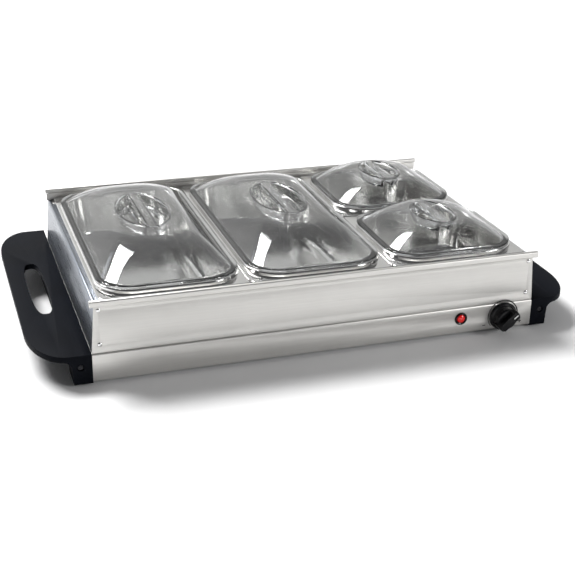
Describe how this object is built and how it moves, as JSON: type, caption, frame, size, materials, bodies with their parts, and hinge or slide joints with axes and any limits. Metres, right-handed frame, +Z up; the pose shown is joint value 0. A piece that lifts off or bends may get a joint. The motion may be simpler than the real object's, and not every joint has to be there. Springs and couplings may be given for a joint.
{
  "type": "electric buffet server",
  "caption": "Low electric warming tray with black carrying handles, a lift-off steel frame of food pans and clear domed lids, a heat knob and a red lamp.",
  "frame": {"origin": "bottom centre of the whole part, on the table under the rubber feet", "axes": "+Z up, the front face with the knob towards -Y, +X to the right seen from the front"},
  "size_m": [0.62, 0.395, 0.1255],
  "materials": {
    "brushed_tray": "brushed, satin",
    "frame_steel": "brushed, satin",
    "bright_steel": "polished",
    "pan_steel": "polished stainless",
    "zinc_steel": "zinc plated",
    "black_plastic": "satin moulded",
    "knob_plastic": "glossy moulded",
    "foot_rubber": "matt",
    "clear_plastic": "clear polycarbonate",
    "red_lens": "clear red",
    "neon_glass": "clear",
    "white_print": "painted",
    "black_print": "printed",
    "mica_board": "matt laminate",
    "glass_fibre": "felted",
    "ribbon_alloy": "oxidised alloy",
    "phenolic": "moulded",
    "brass_parts": "plain",
    "brown_insulation": "silicone",
    "blue_insulation": "silicone",
    "grey_insulation": "silicone"
  },
  "bodies": {
    "tray": {"warming_plate": "brushed_tray", "bottom_plate": "zinc_steel", "end_cap_left": "black_plastic", "end_cap_right": "black_plastic", "foot_front_left": "foot_rubber", "foot_front_right": "foot_rubber", "foot_rear_left": "foot_rubber", "foot_rear_right": "foot_rubber", "cap_screws": "zinc_steel", "bottom_screws": "zinc_steel", "upper_mica": "mica_board", "heating_ribbon": "ribbon_alloy", "lower_mica": "mica_board", "insulation_pad": "glass_fibre", "heater_clamp_plate": "zinc_steel", "heater_studs": "zinc_steel", "heater_nuts": "zinc_steel", "thermostat_body": "phenolic", "thermostat_bracket": "zinc_steel", "thermostat_nut": "zinc_steel", "heat_scale": "black_print", "lamp_bezel": "knob_plastic", "lamp_lens": "red_lens", "neon_tube": "neon_glass", "lamp_clip": "bright_steel", "terminal_block": "phenolic", "terminal_screws": "brass_parts", "thermal_cutoff": "bright_steel", "earth_tag": "bright_steel", "earth_screw": "brass_parts", "live_wire": "brown_insulation", "neutral_wire": "blue_insulation", "heater_wire": "brown_insulation", "lamp_wires": "grey_insulation", "cord_gland": "black_plastic"},
    "dial": {"knob": "knob_plastic", "knob_pointer": "white_print", "knob_grip_spring": "bright_steel", "thermostat_shaft": "zinc_steel"},
    "frame": {"front_panel": "frame_steel", "rear_panel": "frame_steel", "side_panel_left": "frame_steel", "side_panel_right": "frame_steel", "divider_left": "bright_steel", "divider_right": "bright_steel", "cross_bar": "bright_steel", "frame_rivets": "bright_steel"},
    "pan_large_left": {"pan_large_left": "pan_steel"},
    "lid_large_left": {"lid_large_left": "clear_plastic"},
    "pan_large_middle": {"pan_large_middle": "pan_steel"},
    "lid_large_middle": {"lid_large_middle": "clear_plastic"},
    "pan_small_rear": {"pan_small_rear": "pan_steel"},
    "lid_small_rear": {"lid_small_rear": "clear_plastic"},
    "pan_small_front": {"pan_small_front": "pan_steel"},
    "lid_small_front": {"lid_small_front": "clear_plastic"}
  },
  "joints": [
    {"name": "knob_turn", "type": "hinge", "parent": "tray", "child": "dial", "pos_m": [0.2145, -0.1775, 0.0195], "axis": [0, 1, 0], "range_deg": [-185, 85]},
    {"name": "frame_lift", "type": "slide", "parent": "tray", "child": "frame", "axis": [0, 0, 1], "range_m": [0, 0.06]},
    {"name": "pan_large_left_lift", "type": "slide", "parent": "frame", "child": "pan_large_left", "axis": [0, 0, 1], "range_m": [0, 0.07]},
    {"name": "lid_large_left_lift", "type": "slide", "parent": "pan_large_left", "child": "lid_large_left", "axis": [0, 0, 1], "range_m": [0, 0.05]},
    {"name": "pan_large_middle_lift", "type": "slide", "parent": "frame", "child": "pan_large_middle", "axis": [0, 0, 1], "range_m": [0, 0.07]},
    {"name": "lid_large_middle_lift", "type": "slide", "parent": "pan_large_middle", "child": "lid_large_middle", "axis": [0, 0, 1], "range_m": [0, 0.05]},
    {"name": "pan_small_rear_lift", "type": "slide", "parent": "frame", "child": "pan_small_rear", "axis": [0, 0, 1], "range_m": [0, 0.07]},
    {"name": "lid_small_rear_lift", "type": "slide", "parent": "pan_small_rear", "child": "lid_small_rear", "axis": [0, 0, 1], "range_m": [0, 0.05]},
    {"name": "pan_small_front_lift", "type": "slide", "parent": "frame", "child": "pan_small_front", "axis": [0, 0, 1], "range_m": [0, 0.07]},
    {"name": "lid_small_front_lift", "type": "slide", "parent": "pan_small_front", "child": "lid_small_front", "axis": [0, 0, 1], "range_m": [0, 0.05]}
  ]
}
